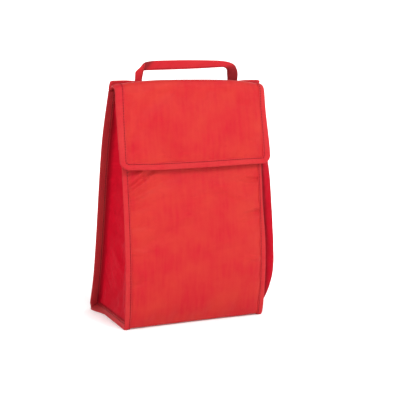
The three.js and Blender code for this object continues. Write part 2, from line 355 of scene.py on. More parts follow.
def woven(
    name, light, deep, thread=0.7 * MM, roughness=0.6,
    sheen=0.03, bump=0.35, wrinkle=0.25, specular=0.16, seams=False,
):
    """Woven cloth: crossed threads from the piece's own cloth coordinates, slubs, and slow change between
    two reds. With seams, painted shade darkens it where its seam layer holds a small value: in the crevice
    beside a seam, and wherever else that layer is set low."""
    material, tree, bsdf = principled(name, roughness, sheen, specular=specular)
    link = tree.links.new
    at = uv_of(tree, "cloth")
    # One wave for every two threads, over and under: the texture has 20 * scale / (2 * pi) waves a metre.
    scale = math.pi / 20 / thread
    warp, weft = (texture(tree, "ShaderNodeTexWave", at, bands_direction=way, Scale=scale) for way in "XY")
    for wave in (warp, weft):
        wave.inputs["Distortion"].default_value = 0.4
        wave.inputs["Detail Scale"].default_value = 3
    weave = node(tree, "ShaderNodeMath", operation="MULTIPLY")
    link(warp.outputs["Fac"], weave.inputs[0])
    link(weft.outputs["Fac"], weave.inputs[1])
    weave = weave.outputs["Value"]
    patches = texture(tree, "ShaderNodeTexNoise", at, Scale=22, Detail=3, Roughness=0.55).outputs["Fac"]
    bands = texture(tree, "ShaderNodeMapping", at)
    bands.inputs["Scale"].default_value = (260, 30, 1)
    slubs = texture(tree, "ShaderNodeTexNoise", bands.outputs["Vector"], Scale=1, Detail=2).outputs["Fac"]
    fine = texture(tree, "ShaderNodeTexNoise", at, Scale=160, Detail=3).outputs["Fac"]
    base = mixed(tree, ramp(tree, patches, From_Min=0.38, From_Max=0.64), deep, light)
    threads = mixed(tree, ramp(tree, weave, From_Max=0.6), darker(deep, 0.86), base)
    colour = node(tree, "ShaderNodeMix", data_type="RGBA")
    colour.inputs[0].default_value = 0.35
    link(base, colour.inputs[6])
    link(threads, colour.inputs[7])
    tint = mixed(tree, ramp(tree, slubs, From_Min=0.2, From_Max=1.2), colour.outputs[2], light)
    if seams:
        # Painted shade: the seam layer's first value fades the colour from a dark red, at 1 mm or less, up to
        # the cloth's own, at 11 mm or more.
        away = node(tree, "ShaderNodeSeparateXYZ")
        link(uv_of(tree, "seam"), away.inputs[0])
        shade = ramp(tree, away.outputs["X"], From_Min=1 * MM, From_Max=11 * MM)
        tint = mixed(tree, shade, darker(deep, 0.25), tint)
    link(tint, bsdf.inputs["Base Color"])
    link(ramp(tree, fine, To_Min=roughness - 0.08, To_Max=roughness + 0.1), bsdf.inputs["Roughness"])
    crease = relief(tree, fine, wrinkle, 1.2 * MM)
    link(relief(tree, weave, bump, 0.25 * MM, crease), bsdf.inputs["Normal"])
    return material


def foil_material():
    """Crinkled silver film: sharp-edged crinkles from a cell pattern over soft ones."""
    material, tree, bsdf = principled("foil", 0.28, metallic=0.9)
    link = tree.links.new
    at = uv_of(tree, "cloth")
    cells = texture(tree, "ShaderNodeTexVoronoi", at, feature="DISTANCE_TO_EDGE", Scale=120)
    cells = cells.outputs["Distance"]
    soft = texture(tree, "ShaderNodeTexNoise", at, Scale=70, Detail=4).outputs["Fac"]
    link(mixed(tree, soft, (0.30, 0.31, 0.32, 1), (0.50, 0.51, 0.52, 1)), bsdf.inputs["Base Color"])
    link(ramp(tree, soft, To_Min=0.2, To_Max=0.42), bsdf.inputs["Roughness"])
    sharp = relief(tree, cells, 0.5, 1.2 * MM)
    link(relief(tree, soft, 0.5, 1.6 * MM, sharp), bsdf.inputs["Normal"])
    return material


RED, DEEP = (0.404, 0.020, 0.0125, 1), (0.376, 0.001, 0.010, 1)
CLOTH = woven("shell_cloth", RED, DEEP)
# The gussets use a shaded copy of the shell cloth: a more saturated red with almost no green, no sheen and
# little shine, painted shade for the sides, and painted crevice shade beside their seams.
SHADED_SIDE_CLOTH = woven(
    "gusset_cloth", (0.41, 0.001, 0.011, 1), (0.37, 0.0005, 0.009, 1),
    sheen=0, specular=0.03, seams=True,
)
TAPE = woven(
    "seam_tape", (0.41, 0.024, 0.024, 1), (0.38, 0.008, 0.016, 1),
    thread=1.0 * MM, roughness=0.62, sheen=0, bump=0.5, wrinkle=0.15, specular=0.1, seams=True,
)
STRAP = woven(
    "strap_cloth", (0.43, 0.014, 0.018, 1), (0.38, 0.004, 0.011, 1),
    thread=1.1 * MM, roughness=0.66, bump=0.5, seams=True,
)
# The thread is a dark red, made darker still as painted shade for the groove that the stitches lie in.
THREAD = woven(
    "thread", (0.12, 0.001, 0.004, 1), (0.09, 0.0005, 0.003, 1),
    thread=0.4 * MM, roughness=0.5, sheen=0, specular=0.1,
)
PILE = woven(
    "closure_pile", (0.24, 0.005, 0.009, 1), (0.18, 0.002, 0.006, 1),
    thread=1.3 * MM, roughness=0.95, sheen=0.2, bump=1.0,
)
FOIL = foil_material()


def dress(obj, material):
    """Give a piece its material and slot. Tape and strap without a seam layer are marked as far from a seam, so
    they get no painted shade.
    """
    if material in (TAPE, STRAP) and "seam" not in obj.data.uv_layers:
        painted_shade_layer(obj, np.full(len(obj.data.vertices), 0.1))
    obj.data.materials.clear()
    obj.data.materials.append(material)
    return obj


# ---- Camera, light and floor ----
def camera():
    """The camera as it was fitted to the photograph, and the Standard view transform."""
    # How far round the bag it stands, how high, how far off, its shift to the right and up, and its lens.
    a, e, distance = math.radians(-23.7), math.radians(8.1), 1.2065
    shift_right, shift_up, lens = 0.0303, 0.1476, 81.531
    back = Vector((math.sin(a) * math.cos(e), -math.cos(a) * math.cos(e), math.sin(e)))
    right = Vector((math.cos(a), math.sin(a), 0))
    up = back.cross(right)
    cam = bpy.data.objects.new("camera", bpy.data.cameras.new("camera"))
    cam.data.sensor_width = 36
    cam.data.lens = lens
    cam.location = right * shift_right + up * shift_up + back * distance
    cam.rotation_mode = "QUATERNION"
    cam.rotation_quaternion = (-back).to_track_quat("-Z", "Y")
    cam.data.clip_end = 50
    bpy.context.scene.collection.objects.link(cam)
    bpy.context.scene.camera = cam
    bpy.context.scene.view_settings.view_transform = "Standard"


def lights():
    """A white world, a large key light from the front and above, and a weak fill from the left."""
    world = bpy.data.worlds.new("studio")
    world.use_nodes = True
    world.node_tree.nodes["Background"].inputs["Color"].default_value = (1, 1, 1, 1)
    world.node_tree.nodes["Background"].inputs["Strength"].default_value = 0.50
    bpy.context.scene.world = world
    # Name, place, size in metres and power in watts.
    key, fill = ("key", (0.25, -1.75, 2.0), 0.9, 40), ("fill", (-1.8, -1.2, 1.0), 1.6, 4)
    for name, place, size, power in (key, fill):
        light = bpy.data.objects.new(name, bpy.data.lights.new(name, "AREA"))
        light.data.shape = "DISK"
        light.data.size = size
        light.data.energy = power
        light.location = place
        light.rotation_mode = "QUATERNION"
        light.rotation_quaternion = (Vector((0, 0, 0.15)) - Vector(place)).to_track_quat("-Z", "Y")
        bpy.context.scene.collection.objects.link(light)


def paper_floor():
    """A pale floor that curves up into a backdrop all round."""
    rings = [(0.0, 0.0), (1.5, 0.0), (3.0, 0.0), (4.0, 0.15), (4.7, 0.6), (5.0, 1.3), (5.0, 5.0)]
    turns = 64
    around = np.linspace(0, 2 * math.pi, turns, endpoint=False)
    verts = [(r * math.cos(t), r * math.sin(t), z) for r, z in rings for t in around]
    floor = make("floor", verts, grid_faces(len(rings), turns, closed_cols=True))
    material, tree, bsdf = principled("floor", 0.9)
    at = node(tree, "ShaderNodeTexCoord").outputs["Object"]
    grain = texture(tree, "ShaderNodeTexNoise", at, Scale=300, Detail=2).outputs["Fac"]
    paper = mixed(tree, grain, (0.93, 0.93, 0.93, 1), (0.95, 0.95, 0.95, 1))
    tree.links.new(paper, bsdf.inputs["Base Color"])
    # The paper glows a little, less in the middle, so that the far floor is white
    # and the contact shadow stays.
    bsdf.inputs["Emission Color"].default_value = (1, 1, 1, 1)
    far = node(tree, "ShaderNodeVectorMath", operation="LENGTH")
    tree.links.new(at, far.inputs[0])
    glow = ramp(tree, far.outputs["Value"], From_Min=0.12, From_Max=0.42, To_Min=0.10, To_Max=0.5)
    tree.links.new(glow, bsdf.inputs["Emission Strength"])
    floor.data.materials.append(material)


# ---- Body: one padded shell, held at its seams and relaxed by cloth simulation ----
# The long strip runs from the mouth down the front, under the base and up the back.
# The gussets close its sides.
ROWS, BASE_CELLS, INNER_CELLS = 72, 26, 46
FRONT, BASE, BACK, RIGHT, LEFT = range(5)


def body_path():
    """(y, z) down the front, along the base and up the back, with its weight as base (1) or wall (0)."""
    z = np.linspace(MOUTH, 0, ROWS + 1)
    front = np.stack([front_y(z), z], 1)
    back = np.stack([back_y(z), z], 1)[::-1]
    base_y = np.linspace(front[-1, 0], back[0, 0], BASE_CELLS + 1)[1:-1]
    base = np.stack([base_y, np.zeros_like(base_y)], 1)
    top_z = np.linspace(MOUTH, BACK_TOP, 5)[1:]
    top = np.stack([back_y(top_z), top_z], 1)
    path = np.vstack([front, base, back, top])
    weight = np.zeros(len(path))
    weight[ROWS : ROWS + BASE_CELLS + 1] = 1
    for corner in (ROWS, ROWS + BASE_CELLS):
        near = slice(corner - 1, corner + 2)
        before, after = path[corner - 2 : corner + 1], path[corner : corner + 3]
        path[near] = path[near] * 0.7 + (before + after) * 0.15
    path[:, 1] += 0.4 * MM
    return path, softened(weight, 3)


def body_grids():
    """The strip as [row, column, xyz], and both gussets as [row, column, xyz] sharing its edges."""
    path, weight = body_path()
    n = len(path)
    inner = np.linspace(-STITCH_X, STITCH_X, INNER_CELLS + 1)
    is_back = smooth((np.arange(n) - (ROWS + BASE_CELLS - 1)) / 3)
    root = np.full(n, GUSSET_X + 0.3 * MM)

    def edge_line(back_fin, spread=0, tuck=0):
        """How far out the seam stands along the path, at the front, the base and the back."""
        front_fin = FRONT_FIN - 0.6 * MM - tuck * smooth((path[:, 1] - 0.085) / 0.07)
        line = front_fin * (1 - is_back) + back_fin * is_back
        base = GUSSET_X + 3.4 * MM
        if spread:
            base = base + (spread - base) * smooth((path[:, 0] - 0.018) / 0.036)
        return line * (1 - weight) + base * weight

    # The rear seam stands out further on the left, and more at its foot, where the base seam
    # spreads to meet it. The front seam on the right is tucked in higher up.
    flare = smooth((0.05 - path[:, 1]) / 0.05) * 1.6 * MM - smooth((path[:, 1] - 0.22) / 0.08) * 1.6 * MM
    left = edge_line(BACK_FIN + 1.3 * MM + flare, spread=BACK_FIN + 3.4 * MM)
    right = edge_line(BACK_FIN + 0.6 * MM, tuck=2.6 * MM)
    columns = np.column_stack(
        [-left, -(root + left) / 2, -root, np.tile(inner, (n, 1)), root, (root + right) / 2, right]
    )
    strip = np.zeros((n, columns.shape[1], 3))
    strip[..., 0] = columns
    strip[..., 1:] = path[:, None, :]
    # The base is lifted at its seams, where the taped edge hangs down as a low skirt.
    x = np.abs(columns)
    edge = np.where(columns < 0, left[:, None], right[:, None])
    lift = smooth((x - GUSSET_X + 16 * MM) / (16 * MM)) * 7.4 * MM
    t = np.clip((x - root[:, None]) / (edge - root[:, None]), 0, 1)
    lift = lift * (1 - t) + 0.4 * MM * t
    front_end, back_end = path[ROWS, 0], path[ROWS + BASE_CELLS, 0]
    inside = smooth(np.minimum(path[:, 0] - front_end, back_end - path[:, 0]) / (11 * MM)) * (weight > 0.02)
    strip[..., 2] += lift * inside[:, None]
    return strip, path


def gusset_grid(strip, side):
    """A gusset between the strip's edges: row 0 is the mouth, the last row the base seam."""
    col = -1 if side > 0 else 0
    rows, cols = ROWS + 1, BASE_CELLS + 1
    grid = np.zeros((rows, cols, 3))
    left = strip[: ROWS + 1, col]
    right = strip[ROWS + BASE_CELLS : 2 * ROWS + BASE_CELLS + 1, col][::-1]
    bottom = strip[ROWS : ROWS + BASE_CELLS + 1, col]
    t = np.linspace(0, 1, cols)
    z = (left[:, 2] + right[:, 2]) / 2
    inset = np.minimum(3.2 * MM, (right[:, 1] - left[:, 1]) * 0.14)
    height = np.clip(1 - z / MOUTH, 0, 1)
    for j in range(rows):
        y0, y1 = left[j, 1] + inset[j], right[j, 1] - inset[j]
        u = (t[1:-1] - t[1]) / (t[-2] - t[1])
        depth = y1 - y0
        grid[j, 1:-1, 1] = y0 + depth * u
        grid[j, 1:-1, 2] = left[j, 2] * (1 - u) + right[j, 2] * u
        if side > 0:
            # This side is folded outwards, most just behind the front seam.
            reach = 23.8 * MM * smooth((MOUTH - z[j]) / 0.084) * (1 - np.clip(1 - z[j] / 0.078, 0, 1) ** 2.3)
            rise = np.clip(8.5 * MM + (z[j] - 0.05) * 0.078, 8.5 * MM, 20 * MM)
            ahead, behind = depth * u, depth * (1 - u)
            shape = np.sin(np.pi / 2 * np.clip(ahead / rise, 0, 1)) ** 1.1
            shape = shape * np.sin(np.pi / 2 * np.clip(behind / max(depth - rise, 1e-4), 0, 1)) ** 0.8
        else:
            # This side is pushed in, least at the mouth and at the foot.
            ends = smooth(height[j] / 0.15) * (1 - 0.8 * smooth((height[j] - 0.75) / 0.25))
            reach = -min(9 * MM, depth * 0.18) * ends
            shape = np.sin(np.pi * u) ** 0.9
        x = GUSSET_X + reach * np.nan_to_num(shape)
        grid[j, 1:-1, 0] = side * x
    # The foot of the gusset turns out into the base seam.
    foot = np.clip(1 - (grid[:, 1:-1, 2] - 8 * MM) / (12 * MM), 0, 1)
    grid[:, 1:-1, 0] = side * (np.abs(grid[:, 1:-1, 0]) * (1 - foot) + GUSSET_X * foot)
    grid[rows - 2, 1:-1, 2] = 8.2 * MM
    grid[:, 0], grid[:, -1], grid[-1] = left, right, bottom
    return grid


def build_body():
    """The shell as one mesh, how firmly each point is held, the strip, and the gussets' point numbers."""
    strip, path = body_grids()
    n, m = strip.shape[:2]
    s = lengths(path)
    verts = [strip.reshape(-1, 3)]
    uvs = [np.stack([strip[..., 0], np.repeat(s[:, None], m, 1)], -1).reshape(-1, 2)]
    faces, panel = [], []
    for i in range(n - 1):
        label = FRONT if i < ROWS + 1 else BASE if i < ROWS + BASE_CELLS - 1 else BACK
        panel += [label] * (m - 1)
    faces += [list(f)[::-1] for f in grid_faces(n, m)]
    pinned = np.zeros((n, m))
    pinned[:, :4] = pinned[:, -4:] = 1
    pinned[:1] = pinned[-5:] = 1
    pinned[ROWS + 1 : ROWS + BASE_CELLS] = 0.6
    held = [pinned.ravel()]
    offset = n * m
    indexes = {}
    for side, label in ((1, RIGHT), (-1, LEFT)):
        grid = gusset_grid(strip, side)
        rows, cols = grid.shape[:2]
        index = np.full((rows, cols), -1)
        col = m - 1 if side > 0 else 0
        index[:, 0] = np.arange(ROWS + 1) * m + col
        index[:, -1] = (2 * ROWS + BASE_CELLS - np.arange(ROWS + 1)) * m + col
        index[-1] = (ROWS + np.arange(BASE_CELLS + 1)) * m + col
        free = index < 0
        index[free] = offset + np.arange(free.sum())
        verts.append(grid[free])
        uvs.append(np.stack([grid[..., 1], grid[..., 2] + 0.5], -1)[free])
        hold = np.zeros((rows, cols))
        hold[:, :2] = hold[:, -2:] = 1
        hold[:2] = hold[-2:] = 1
        hold[:, 2] = hold[:, -3] = 0.5
        held.append(hold[free])
        offset += free.sum()
        for i in range(rows - 1):
            for j in range(cols - 1):
                f = [index[i, j], index[i, j + 1], index[i + 1, j + 1], index[i + 1, j]]
                faces.append(f[::-1] if side > 0 else f)
                panel.append(label)
        indexes[side] = index
    obj = make("body", np.vstack(verts), faces, np.vstack(uvs))
    label_faces(obj, panel)
    return obj, np.concatenate(held), strip, indexes


def soft_ridges(a, b, shapes):
    """Height of soft ridges, or hollows, at a and b in metres. Each shape is its place (a, b) in mm, its turn
    in degrees, and its length, width and height in mm."""
    total = np.zeros_like(a)
    for place_a, place_b, turn, length, width, height in shapes:
        turn = math.radians(turn)
        da, db = a - place_a * MM, b - place_b * MM
        p = da * math.cos(turn) + db * math.sin(turn)
        q = -da * math.sin(turn) + db * math.cos(turn)
        total += height * MM * np.exp(-((p / (length * MM)) ** 2) - (q / (width * MM)) ** 2)
    return total


# The small pulled creases on the front panel, at x and the height above the flap's lower edge.
CREASES = (
    (-76, -7, 38, 22, 2.6, 1.5), (-73, -14, 34, 22, 2.4, -1.3), (-77, -22, 31, 20, 2.6, 1.4),
    (-72, -30, 28, 24, 2.8, -1.1), (-79, -39, 24, 18, 2.8, 1.1), (-78, -49, 17, 16, 3.0, -0.8),
    (-40, -18, 30, 30, 7.0, -0.8), (76, -19, -5, 16, 2.2, -1.3), (77, -24, -8, 14, 2.2, 0.9),
    (79, -61, 7, 14, 2.2, -1.4), (76, -67, 4, 16, 2.6, 0.9), (58, -40, -24, 26, 5.0, 1.0),
    (20, -30, 20, 34, 8.0, 0.9), (-20, -60, 12, 44, 9.0, 0.9), (30, -34, -16, 40, 8.0, -1.0),
    (40, -95, 8, 30, 7.0, 0.8), (-82, -140, 12, 12, 2.6, -1.0), (-83, -100, -8, 14, 2.6, 1.0),
    (80, -120, -10, 14, 2.6, 0.8), (-60, -88, 24, 30, 6.0, -0.8), (-76, -70, 8, 16, 2.6, -0.9),
)
# The soft diagonal folds on the left gusset, at y and z.
SIDE_FOLDS = (
    (-10, 75, 52, 50, 7, 1.8), (14, 60, 60, 40, 6, -1.4), (-30, 120, 74, 46, 6, 1.3),
    (-36, 34, 40, 26, 5, 1.5), (-10, 22, 28, 24, 4, -1.3), (4, 130, 80, 50, 7, -1.2),
)


def split_panels(obj, names):
    """The relaxed shell cut into its sewn panels, one object each."""
    co = co_of(obj)
    mesh = obj.data
    uv = np.zeros(len(mesh.loops) * 2)
    mesh.uv_layers["cloth"].data.foreach_get("uv", uv)
    uv = uv.reshape(-1, 2)
    vertex_uv = np.zeros((len(co), 2))
    vertex_uv[loop_vertices(mesh)] = uv
    panel = np.zeros(len(mesh.polygons), int)
    mesh.attributes["panel"].data.foreach_get("value", panel)
    made = {}
    for label, name in names.items():
        own = [list(p.vertices) for p in mesh.polygons if panel[p.index] == label]
        used = np.unique(np.concatenate([np.array(f) for f in own]))
        new = np.full(len(co), -1)
        new[used] = np.arange(len(used))
        made[name] = make(name, co[used], [[new[i] for i in f] for f in own], vertex_uv[used])
    bpy.data.objects.remove(obj)
    return made


def paint_seam_shade(piece, side):
    """A second layer of cloth coordinates for painted crevice shade, holding each point's distance from the
    seams round its gusset.
    """
    seam = grid_now[:, -3 if side > 0 else 2]
    low = np.abs(seam[:, 2]) < 0.011
    base, walls = seam[low], seam[~low]
    halfway = (walls[1:] + walls[:-1]) / 2
    walls = np.vstack([walls, halfway[np.linalg.norm(walls[1:] - walls[:-1], axis=1) < 0.01]])
    points = co_of(piece)
    far = np.sqrt([min(((walls - p) ** 2).sum(1).min(), 9 * ((base - p) ** 2).sum(1).min()) for p in points])
    if side > 0:
        # The gusset that is folded outwards is in the shade further from its seams,
        # most of all behind the front one.
        front = walls[np.abs(walls[:, 1] - front_y(walls[:, 2])) < 0.008]
        ahead = np.sqrt([((front - p) ** 2).sum(1).min() for p in points])
        far = np.minimum(far * 0.75, 0.0030 + 0.0060 * smooth((ahead - 0.0105) / 0.006))
    painted_shade_layer(piece, far)


body, pinned, strip, gusset_index = build_body()
start, moved = relax(body, pinned, pressure=1.6, grow=0.012)
# Under the flap, on the base and on the gusset that is folded outwards, the cloth has less room to swell.
SWELL, FLAP_SWELL, BASE_SWELL, FOLDED_SWELL = 4.5 * MM, 1.2 * MM, 1.2 * MM, 1.0 * MM
is_front = smooth((0.003 - start[:, 1] + front_y(start[:, 2])) / 0.003)
under_flap = is_front * smooth((start[:, 2] - FLAP_LOW + 0.030) / 0.026)
limit = SWELL - (SWELL - FLAP_SWELL) * under_flap
limit = np.where(start[:, 2] < 0.012, BASE_SWELL, limit)
limit = np.where(start[:, 0] > GUSSET_X + 0.002, FOLDED_SWELL, limit)
relaxed = start + capped(moved, limit)
relaxed[:, 2] = np.maximum(relaxed[:, 2], 0.0003)
set_co(body, relaxed)
grid_now = relaxed[: strip.shape[0] * strip.shape[1]].reshape(strip.shape)
body_coarse = relaxed.copy()
subdivide(body)
co = co_of(body)
on_panel = smooth((front_y(co[:, 2]) + 0.006 - co[:, 1]) / 0.002)
on_panel = on_panel * smooth((STITCH_X - np.abs(co[:, 0])) / 0.004)
co[:, 1] -= on_panel * soft_ridges(co[:, 0], co[:, 2] - FLAP_LOW, CREASES) * 1.9
left_side = smooth((-co[:, 0] - GUSSET_X + 0.012) / 0.004) * smooth((co[:, 1] - front_y(co[:, 2])) / 0.012)
left_side = left_side * smooth((back_y(co[:, 2]) - co[:, 1]) / 0.012) * smooth((co[:, 2] - 0.010) / 0.012)
folds = waves(co[:, 1], co[:, 2], 0.060, 91) * 0.7 * MM + soft_ridges(co[:, 1], co[:, 2], SIDE_FOLDS)
co[:, 0] -= left_side * folds
set_co(body, co)
panel_names = {FRONT: "panel_front", BASE: "panel_base", BACK: "panel_back"}
panels = split_panels(body, panel_names | {RIGHT: "gusset_right", LEFT: "gusset_left"})
for name, piece in panels.items():
    wall = name.removeprefix("panel_")
    is_gusset = name.startswith("gusset")
    if is_gusset:
        paint_seam_shade(piece, 1 if name.endswith("right") else -1)
    dress(piece, SHADED_SIDE_CLOTH if is_gusset else CLOTH)
    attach(piece, "bag")
    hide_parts(f"cloth_{wall}", f"foam_{wall}")

# ---- Stitches ----
def stitches(name, lines, body, every=3.3 * MM, length=2.4 * MM, radius=0.43 * MM, blend=None):
    """Short thread stitches laid along lines of (points, normals)."""
    rings, sides = 4, 6
    turn = np.linspace(0, 2 * math.pi, sides, endpoint=False)
    uv = np.column_stack([np.repeat(np.linspace(0, length, rings), sides), np.tile(turn, rings) * radius])
    # Place along the stitch, width and height of each ring: the ends dive into the cloth.
    shape = ((-0.5, 0.45, -0.25), (-0.28, 1, 0.1), (0.28, 1, 0.1), (0.5, 0.45, -0.25))
    verts, faces, uvs = [], [], []
    for points, normals in lines:
        points, normals = np.asarray(points), unit(np.asarray(normals))
        d = lengths(points)
        middles = np.arange(every * 0.6, d[-1] - every * 0.4, every)
        places, ups = between(middles, d, points), unit(between(middles, d, normals))
        runs = unit(between(middles + 1 * MM, d, points) - places)
        for at, up, run, side in zip(places, ups, runs, unit(np.cross(runs, ups))):
            ring = np.outer(np.cos(turn), side) + np.outer(np.sin(turn), up) * 0.7
            first = rings * sides * len(verts)
            block = [at + run * t * length + up * h * radius + ring * radius * r for t, r, h in shape]
            verts.append(np.vstack(block))
            uvs.append(uv)
            faces += [list(f) for f in grid_faces(rings, sides, closed_cols=True, offset=first)]
            faces.append([first + k for k in range(sides)][::-1])
            faces.append([first + (rings - 1) * sides + k for k in range(sides)])
    obj = outward(make(name, np.vstack(verts), faces, np.vstack(uvs)))
    dress(obj, THREAD)
    if blend:
        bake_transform(obj)
    else:
        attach(obj, body)
    return obj


# ---- Taped seams round both gussets ----
def finer(points, times=3):
    """A polyline with more stations, rounded a little."""
    n = len(points)
    t = np.linspace(0, n - 1, (n - 1) * times + 1)
    return softened(between(t, np.arange(n), points))


def fin_lines(side):
    """The strip's edge, its columns inwards from it, and the gusset's root line, along one seam."""
    last = 2 * ROWS + BASE_CELLS
    rows = np.arange(0, last + 3)
    col = (lambda k: grid_now.shape[1] - 1 - k) if side > 0 else (lambda k: k)
    lines = {k: grid_now[rows, col(k)].copy() for k in range(5)}
    index = gusset_index[side]
    root = np.concatenate([index[: ROWS + 1, 1], index[-2, 1:-1], index[: ROWS + 1, -2][::-1]])
    gusset = body_coarse[root]
    above = gusset[-1] + (grid_now[rows[-2:], col(2)] - grid_now[last, col(2)])
    return lines, np.vstack([gusset, above])[: len(rows)]


def seam_tape(side, name):
    """The tape folded over a seam's standing edge, from the panel to the gusset. Returns its stitch lines."""
    lines, root = fin_lines(side)
    count = min(len(root), len(lines[0]))
    edge, mid, foot, sewn, inner = (finer(lines[k][:count]) for k in range(5))
    root = finer(root[:count])
    tangent = unit(np.gradient(edge, axis=0))
    out, inwards = unit(edge - foot), unit(inner - sewn)
    # The ways in which three faces look: the panel's, the standing edge's, and the gusset's.
    flat = np.cross(tangent, unit(foot - sewn)) * side
    face = np.cross(tangent, out) * side
    under = -np.cross(tangent, unit(edge - root)) * side
    s = lengths(edge)
    wobble = (waves(s, s * 0, 0.016, 5 + side) * 0.16 * MM)[:, None]
    ragged = (waves(s, s * 0, 0.022, 9 + side) * 0.25 * MM)[:, None]
    section = [
        sewn + inwards * (1.9 * MM + ragged) + flat * 0.05 * MM,
        sewn + inwards * (1.8 * MM + ragged) + flat * (0.62 * MM + wobble),
        sewn + inwards * 0.9 * MM + flat * (0.80 * MM + wobble),
        sewn + inwards * 0.1 * MM + flat * 0.38 * MM,
        sewn - inwards * 0.8 * MM + flat * 0.85 * MM,
        foot + face * (1.05 * MM + wobble),
        mid + face * (1.0 * MM + wobble),
        edge - out * 0.6 * MM + face * 0.85 * MM,
        edge + out * 0.35 * MM + face * 0.4 * MM,
        edge + out * 0.45 * MM - face * 0.1 * MM,
    ]
    # Share of the way from the edge to the gusset's root line, thickness, and whether it wobbles.
    shape = ((0, 0.55, 0), (0.2, 0.8, 1), (0.55, 0.85, 1), (0.74, 0.42, 0), (0.88, 0.72, 0), (0.97, 0.1, 0))
    section += [edge + (root - edge) * share + under * (h * MM + wobble * w) for share, h, w in shape]
    tape = sweep(name, section)
    co = co_of(tape)
    co[:, 2] = np.maximum(co[:, 2], 0.0002)
    set_co(tape, co)
    # The rear seam lies in the shade of the folded gusset and is darker.
    rear = smooth((np.arange(len(edge)) / 3 - ROWS) / BASE_CELLS)
    shaded = smooth((np.arange(len(section)) - 8) / 3)
    painted_shade_layer(tape, 0.0115 - 0.0050 * np.outer(rear, shaded).ravel())
    dress(tape, TAPE)
    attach(tape, "bag")
    word = "right" if side > 0 else "left"
    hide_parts(*[f"tape_{part}_{word}" for part in ("front", "base", "back")])
    low = edge + (root - edge) * 0.74
    return [(sewn + inwards * 0.1 * MM + flat * 0.62 * MM, flat), (low + under * 0.66 * MM, under)]


thread_lines = seam_tape(1, "seam_tape_right") + seam_tape(-1, "seam_tape_left")
stitches("seam_stitches", thread_lines, "bag")


# ---- Ridge: the flap and the back panel sewn edge to edge under one folded tape ----
def ridge_line(z):
    return back_y(z) - 1.9 * MM


def folded_tape(name, x0, x1, line, z_low, z_top, thick, seed, dip=0, pinch=0.62):
    """A folded tape standing on a level edge: along x, with its section in y and z. Its stitches lie in
    a groove, where pinch is what is left of its thickness. Returns the tape and its stitch lines."""
    groove = 1.6 * MM
    height = z_top - z_low
    x = np.linspace(x0, x1, 70)
    end = np.minimum(x - x0, x1 - x)
    round_end = 1 - np.sqrt(np.clip(1 - (1 - np.clip(end / (2 * MM), 0, 1)) ** 2, 0, 1))
    rise = waves(x, x * 0, 0.06, seed) * 0.35 * MM - round_end * 1.0 * MM
    rise = rise - dip * (1 - smooth((np.abs(x) - 0.045) / 0.040))
    puff = waves(x, x * 0, 0.018, seed + 1) * 0.15 * MM
    # Share of the height, and of the thickness.
    shape = [(0.0, 0.2), (0.05, max(0.9, pinch)), (groove / height, pinch)]
    shape += [(0.32, 1.05), (0.6, 0.98), (0.85, 0.85), (0.97, 0.5)]

    def side(sign):
        for t, w in shape:
            z = z_low + height * t
            y = line(z) + sign * (thick(t) * w + puff * (0.2 < t < 0.9))
            yield np.stack([x, y, z + rise * t], 1)

    top = np.stack([x, line(z_top) + x * 0, z_top + rise], 1)
    tape = sweep(name, [*side(-1), top, *list(side(1))[::-1]])
    dress(tape, TAPE)
    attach(tape, "bag")
    t = groove / height
    z = z_low + groove
    rows = []
    for sign in (-1, 1):
        y = line(z) + sign * (thick(t) * pinch + 0.3 * MM)
        points = np.stack([x[2:-2], y + x[2:-2] * 0, z + rise[2:-2] * t], 1)
        rows.append((points, np.tile([0, sign, 0], (len(points), 1))))
    return tape, rows


ridge, ridge_rows = folded_tape(
    "ridge_tape", -FLAP_X - 0.4 * MM, FLAP_X + 2.0 * MM, ridge_line,
    RIDGE_TOP - 11 * MM, RIDGE_TOP + 1.2 * MM, lambda t: (2.9 - 1.3 * t) * MM, 21, dip=3.0 * MM,
)
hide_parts("tape_ridge")

# ---- Mouth tapes ----
mouth_front, mouth_rows = folded_tape(
    "mouth_tape_front", -GUSSET_X + 1 * MM, GUSSET_X - 1 * MM, lambda z: front_y(z) + 1.9 * MM,
    MOUTH - 8 * MM, MOUTH + 0.9 * MM, lambda t: (4.05 - 1.0 * t) * MM, 31, pinch=0.9,
)
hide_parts("tape_mouth_front")
stitches("rim_stitches", ridge_rows + mouth_rows, "bag")


def gusset_mouth_tape(side, name):
    """The folded tape over a gusset's short top edge."""
    index = gusset_index[side]
    edge = finer(body_coarse[index[0, 2:-2]], 2)
    n = len(edge)
    inward = np.tile([-side, 0, 0], (n, 1))
    up = np.tile([0, 0, 1.0], (n, 1))
    # How far up from the edge, and how far in from the gusset's outer face, in mm.
    shape = [(-8, -0.5), (-7.8, -1.1), (-6.6, -0.7), (-4, -1.2), (-0.6, -1.0)]
    shape += [(0.9, 1.4), (-0.4, 3.9), (-4, 4.3), (-6.6, 3.9), (-8, 3.8)]
    section = [edge + up * rise * MM + inward * depth * MM for rise, depth in shape]
    tape = sweep(name, section)
    dress(tape, TAPE)
    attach(tape, "bag")
    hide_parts(f"tape_mouth_{'right' if side > 0 else 'left'}")


gusset_mouth_tape(1, "mouth_tape_right")
gusset_mouth_tape(-1, "mouth_tape_left")


